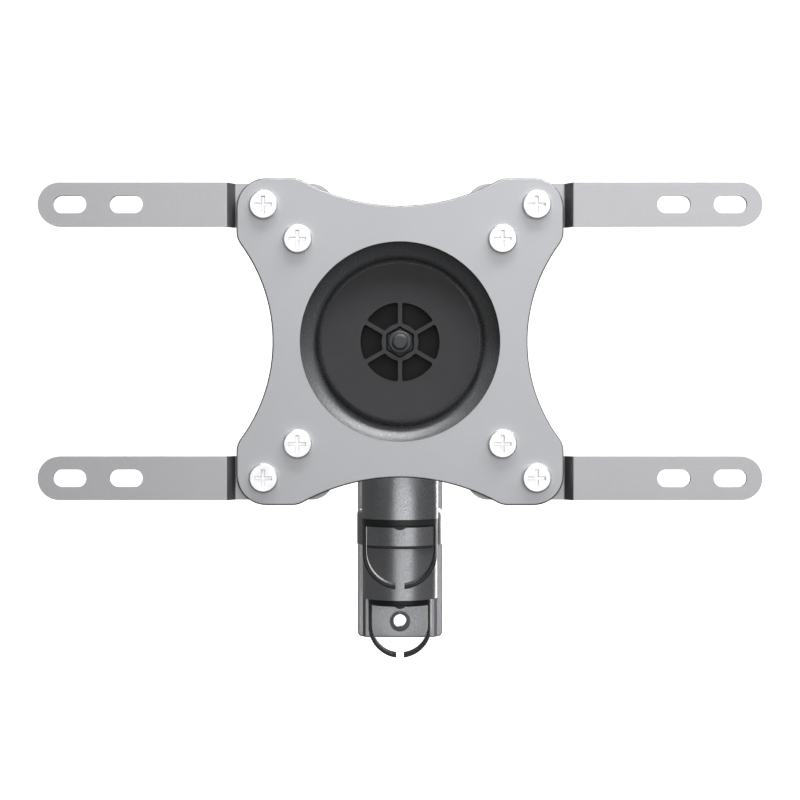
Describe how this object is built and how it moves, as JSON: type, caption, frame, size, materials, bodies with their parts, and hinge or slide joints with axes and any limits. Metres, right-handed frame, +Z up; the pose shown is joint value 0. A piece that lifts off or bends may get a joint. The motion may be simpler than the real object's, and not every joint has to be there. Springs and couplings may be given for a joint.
{
  "type": "swivel tv wall mount",
  "caption": "Wall mount for a flat screen: hinged arm on a wall plate, with a swivelling, tilting and turning screen plate, side strips and cable clips.",
  "frame": {"origin": "on the wall, midway between the two wall screw holes", "axes": "+Z up, +Y into the wall, so the screen faces -Y, and +X to the right as seen from the screen's front"},
  "size_m": [0.2646, 0.2446, 0.2018],
  "materials": {
    "plate_silver": "fine silver powder coat on sheet steel",
    "strip_silver": "fine silver powder coat on strip steel",
    "zinc": "bright zinc plate",
    "black_steel": "matt black zinc plate",
    "dish_black": "textured black powder coat",
    "disc_grey": "smooth matt moulding",
    "arm_grey": "satin dark grey coat on an aluminium casting",
    "wall_silver": "satin grey coat on an aluminium casting",
    "cap_black": "smooth black moulding",
    "bush_grey": "plain dark grey bearing plastic",
    "nylon_black": "plain black nylon"
  },
  "bodies": {
    "wall_side": {"wall_bracket": "wall_silver", "wall_pivot_bolt": "zinc", "wall_pivot_washer": "zinc", "wall_pivot_nut": "zinc", "wall_top_cap": "cap_black", "wall_cable_clip": "cap_black"},
    "arm_side": {"arm": "arm_grey", "wall_upper_bush": "bush_grey", "wall_lower_bush": "bush_grey", "head_upper_bush": "bush_grey", "head_lower_bush": "bush_grey", "arm_cable_clip": "cap_black"},
    "head_side": {"swivel_head": "arm_grey", "head_pivot_bolt": "zinc", "head_pivot_washer": "zinc", "head_pivot_nut": "zinc", "head_top_cap": "cap_black"},
    "tilt_side": {"tilt_block": "arm_grey", "tilt_bolt": "zinc", "tilt_nut": "zinc", "tilt_bolt_washer_left": "zinc", "tilt_bolt_washer_right": "zinc", "tilt_friction_washer_left": "nylon_black", "tilt_friction_washer_right": "nylon_black", "clamp_bolt": "black_steel", "clamp_nut": "black_steel", "clamp_disc": "disc_grey", "front_friction_washer": "nylon_black", "rear_friction_washer": "nylon_black"},
    "screen_side": {"screen_plate": "plate_silver", "pivot_dish": "dish_black", "strip_upper_left": "strip_silver", "strip_upper_right": "strip_silver", "strip_lower_left": "strip_silver", "strip_lower_right": "strip_silver", "outer_screw_upper_left": "zinc", "outer_screw_upper_right": "zinc", "outer_screw_lower_left": "zinc", "outer_screw_lower_right": "zinc", "inner_screw_upper_left": "zinc", "inner_screw_upper_right": "zinc", "inner_screw_lower_left": "zinc", "inner_screw_lower_right": "zinc", "outer_nut_upper_left": "zinc", "outer_nut_upper_right": "zinc", "outer_nut_lower_left": "zinc", "outer_nut_lower_right": "zinc", "inner_nut_upper_left": "zinc", "inner_nut_upper_right": "zinc", "inner_nut_lower_left": "zinc", "inner_nut_lower_right": "zinc"}
  },
  "joints": [
    {"name": "arm_swing", "type": "hinge", "parent": "wall_side", "child": "arm_side", "pos_m": [0, -0.0295, 0], "axis": [0, 0, 1], "range_deg": [-90, 90]},
    {"name": "head_swivel", "type": "hinge", "parent": "arm_side", "child": "head_side", "pos_m": [0, -0.1835, 0.0346], "axis": [0, 0, 1], "range_deg": [-90, 90]},
    {"name": "tilt", "type": "hinge", "parent": "head_side", "child": "tilt_side", "pos_m": [0, -0.2095, 0.0572], "axis": [1, 0, 0], "range_deg": [-5, 15]},
    {"name": "screen_turn", "type": "hinge", "parent": "tilt_side", "child": "screen_side", "pos_m": [0, -0.2405, 0.0572], "axis": [0, 1, 0], "continuous": true}
  ]
}
